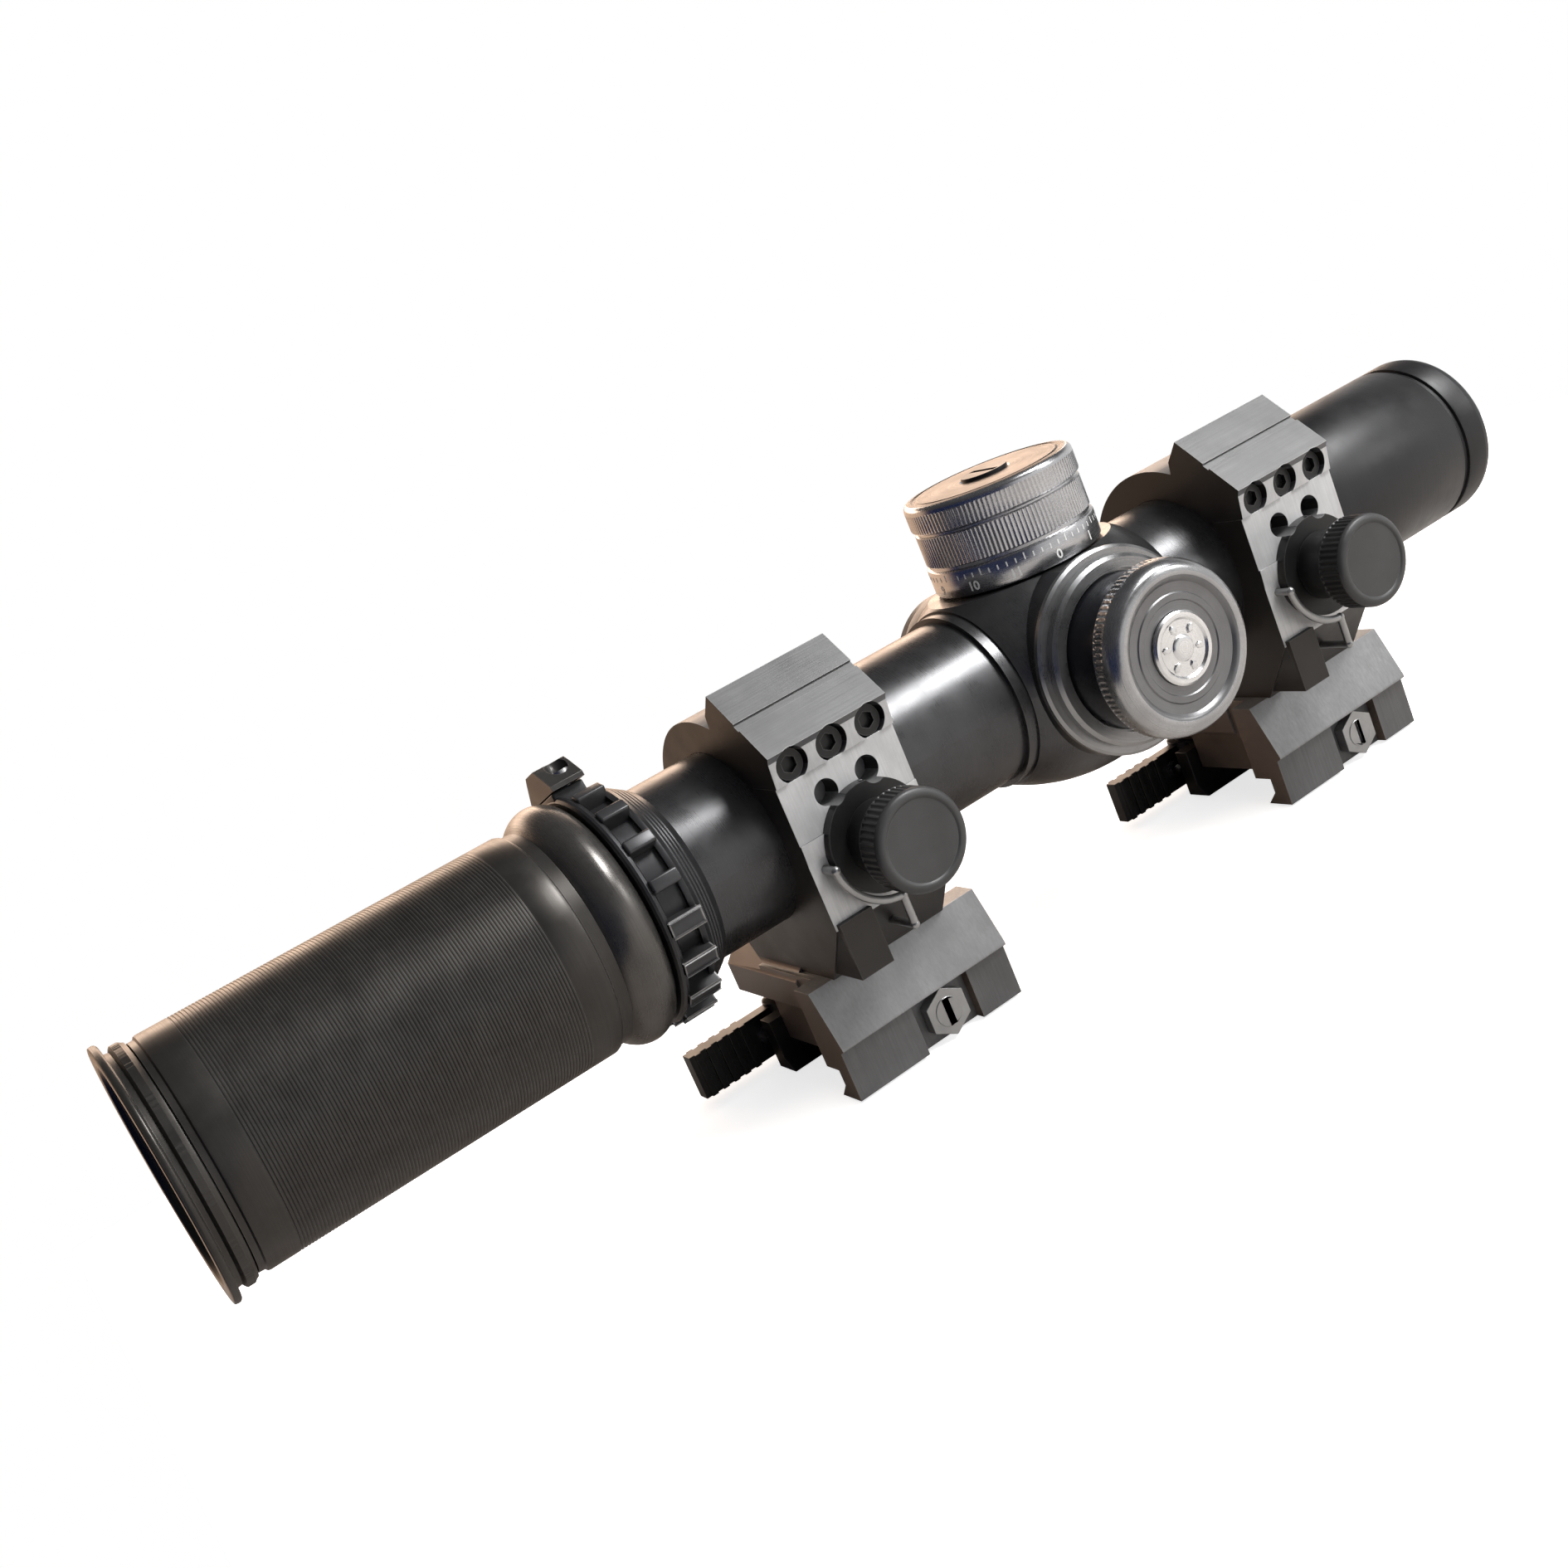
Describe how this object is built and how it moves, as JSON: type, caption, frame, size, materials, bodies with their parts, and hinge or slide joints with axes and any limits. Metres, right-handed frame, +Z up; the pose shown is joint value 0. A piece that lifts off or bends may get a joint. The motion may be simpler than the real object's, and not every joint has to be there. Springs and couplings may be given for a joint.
{
  "type": "telescopic sight",
  "caption": "Variable-power telescopic sight with ribbed eyepiece, magnification ring and turrets, held in quick-detach ring mounts with throw levers for a slotted rail.",
  "frame": {"origin": "middle of the rear ring mount's rail seat, on the rail's top face", "axes": "+Y forward along the optical axis, towards the objective; +Z up, away from the rail; +X to the user's right"},
  "size_m": [0.065, 0.266, 0.077],
  "materials": {
    "tube_black": "satin hard anodised",
    "eyepiece_black": "fine-ribbed hard anodised",
    "knob_grey": "brushed anodised",
    "windage_silver": "polished anodised",
    "ring_grey": "milled, satin anodised",
    "black_metal": "satin black",
    "steel": "bare steel",
    "brass": "machined brass",
    "glass": "blue multicoated",
    "seal": "rubber",
    "inner_black": "matt anodised"
  },
  "bodies": {
    "root": {"main_tube": "tube_black", "objective_bell": "tube_black", "objective_lens": "glass", "objective_retainer": "inner_black", "front_bezel": "tube_black", "eyepiece_housing": "eyepiece_black", "eyepiece_collar": "eyepiece_black", "field_lens": "glass", "field_retainer": "inner_black", "erector_spring": "steel", "elevation_seat": "tube_black", "elevation_seal": "seal", "windage_seat": "knob_grey", "illumination_seat": "tube_black", "rear_ring_base": "ring_grey", "rear_ring_cap": "ring_grey", "rear_cap_screws": "black_metal", "rear_knob_clip": "steel", "rear_cross_bolt": "steel", "rear_lever_pin": "steel", "front_ring_base": "ring_grey", "front_ring_cap": "ring_grey", "front_cap_screws": "black_metal", "front_knob_clip": "steel", "front_cross_bolt": "steel", "front_lever_pin": "steel"},
    "diopter": {"diopter_ring": "eyepiece_black"},
    "ocular": {"ocular_cell": "inner_black", "ocular_lens": "glass"},
    "zoom": {"magnification_ring": "tube_black", "zoom_lever": "knob_grey", "zoom_lever_screw": "steel", "drive_screw": "steel"},
    "gimbal": {"gimbal_ring": "brass"},
    "erector": {"erector_tube": "inner_black", "reticle": "glass"},
    "cam": {"cam_tube": "brass"},
    "front_cell": {"front_lens_cell": "inner_black", "front_erector_lens": "glass"},
    "rear_cell": {"rear_lens_cell": "inner_black", "rear_erector_lens": "glass"},
    "elevation": {"elevation_knob": "knob_grey", "elevation_lock_screw": "black_metal"},
    "elevation_spindle": {"elevation_screw": "brass"},
    "windage": {"windage_knob": "windage_silver", "windage_medallion": "windage_silver"},
    "windage_spindle": {"windage_screw": "brass"},
    "illumination": {"illumination_knob": "tube_black", "battery": "steel"},
    "battery_cover": {"battery_cap": "tube_black"},
    "rear_lever": {"rear_throw_lever": "black_metal", "rear_lever_screw": "steel"},
    "rear_jaw": {"rear_clamp_jaw": "black_metal"},
    "rear_knob": {"rear_lock_knob": "black_metal"},
    "front_lever": {"front_throw_lever": "black_metal", "front_lever_screw": "steel"},
    "front_jaw": {"front_clamp_jaw": "black_metal"},
    "front_knob": {"front_lock_knob": "black_metal"}
  },
  "joints": [
    {"name": "diopter_turn", "type": "hinge", "parent": "root", "child": "diopter", "pos_m": [0, -0.107, 0.0381], "axis": [0, 1, 0], "range_deg": [-170, 170]},
    {"name": "ocular_focus", "type": "slide", "parent": "root", "child": "ocular", "axis": [0, 1, 0], "range_m": [-0.0012, 0.0012]},
    {"name": "zoom_turn", "type": "hinge", "parent": "root", "child": "zoom", "pos_m": [0, -0.03, 0.0381], "axis": [0, 1, 0], "range_deg": [-75, 105]},
    {"name": "erector_pitch", "type": "hinge", "parent": "root", "child": "gimbal", "pos_m": [0, -0.037, 0.0381], "axis": [-1, 0, 0], "range_deg": [-0.3, 0.3]},
    {"name": "erector_yaw", "type": "hinge", "parent": "gimbal", "child": "erector", "pos_m": [0, -0.037, 0.0381], "axis": [0, 0, 1], "range_deg": [-0.3, 0.3]},
    {"name": "cam_turn", "type": "hinge", "parent": "erector", "child": "cam", "pos_m": [0, -0.03, 0.0381], "axis": [0, 1, 0], "range_deg": [-75, 105]},
    {"name": "front_cell_travel", "type": "slide", "parent": "erector", "child": "front_cell", "axis": [0, 1, 0], "range_m": [-0.004, 0.0055]},
    {"name": "rear_cell_travel", "type": "slide", "parent": "erector", "child": "rear_cell", "axis": [0, -1, 0], "range_m": [-0.0025, 0.0035]},
    {"name": "elevation_turn", "type": "hinge", "parent": "root", "child": "elevation", "pos_m": [0, 0.0572, 0.06], "axis": [0, 0, 1], "range_deg": [-180, 180]},
    {"name": "elevation_travel", "type": "slide", "parent": "root", "child": "elevation_spindle", "axis": [0, 0, -1], "range_m": [-0.0003, 0.0003]},
    {"name": "windage_turn", "type": "hinge", "parent": "root", "child": "windage", "pos_m": [0.028, 0.0572, 0.0381], "axis": [1, 0, 0], "range_deg": [-180, 180]},
    {"name": "windage_travel", "type": "slide", "parent": "root", "child": "windage_spindle", "axis": [-1, 0, 0], "range_m": [-0.0003, 0.0003]},
    {"name": "illumination_turn", "type": "hinge", "parent": "root", "child": "illumination", "pos_m": [-0.024, 0.0572, 0.0381], "axis": [-1, 0, 0], "range_deg": [0, 300]},
    {"name": "battery_cap_turn", "type": "hinge", "parent": "illumination", "child": "battery_cover", "pos_m": [-0.028, 0.0572, 0.0381], "axis": [-1, 0, 0], "range_deg": [0, 90]},
    {"name": "rear_lever_swing", "type": "hinge", "parent": "root", "child": "rear_lever", "pos_m": [-0.019, -0.008, 0], "axis": [0, 0, -1], "range_deg": [0, 100]},
    {"name": "rear_jaw_travel", "type": "slide", "parent": "root", "child": "rear_jaw", "axis": [-1, 0, 0], "range_m": [0, 0.0016]},
    {"name": "rear_lock_knob_turn", "type": "hinge", "parent": "root", "child": "rear_knob", "pos_m": [0.028, 0.0009, 0.0338], "axis": [1, 0, 0], "range_deg": [-180, 180]},
    {"name": "front_lever_swing", "type": "hinge", "parent": "root", "child": "front_lever", "pos_m": [-0.019, 0.09207, 0], "axis": [0, 0, -1], "range_deg": [0, 100]},
    {"name": "front_jaw_travel", "type": "slide", "parent": "root", "child": "front_jaw", "axis": [-1, 0, 0], "range_m": [0, 0.0016]},
    {"name": "front_lock_knob_turn", "type": "hinge", "parent": "root", "child": "front_knob", "pos_m": [0.028, 0.10097, 0.0338], "axis": [1, 0, 0], "range_deg": [-180, 180]}
  ],
  "couplings": [
    {"joint": "ocular_focus", "follows": "diopter_turn", "m_per_rad": 0.0004},
    {"joint": "cam_turn", "follows": "zoom_turn", "ratio": 1},
    {"joint": "front_cell_travel", "follows": "zoom_turn", "m_per_rad": 0.0029},
    {"joint": "rear_cell_travel", "follows": "zoom_turn", "m_per_rad": 0.0016},
    {"joint": "elevation_travel", "follows": "elevation_turn", "m_per_rad": 0.00007958},
    {"joint": "erector_pitch", "follows": "elevation_turn", "ratio": 0.0008377},
    {"joint": "windage_travel", "follows": "windage_turn", "m_per_rad": 0.00007958},
    {"joint": "erector_yaw", "follows": "windage_turn", "ratio": 0.0008377},
    {"joint": "rear_jaw_travel", "follows": "rear_lever_swing", "m_per_rad": 0.0009},
    {"joint": "front_jaw_travel", "follows": "front_lever_swing", "m_per_rad": 0.0009}
  ]
}
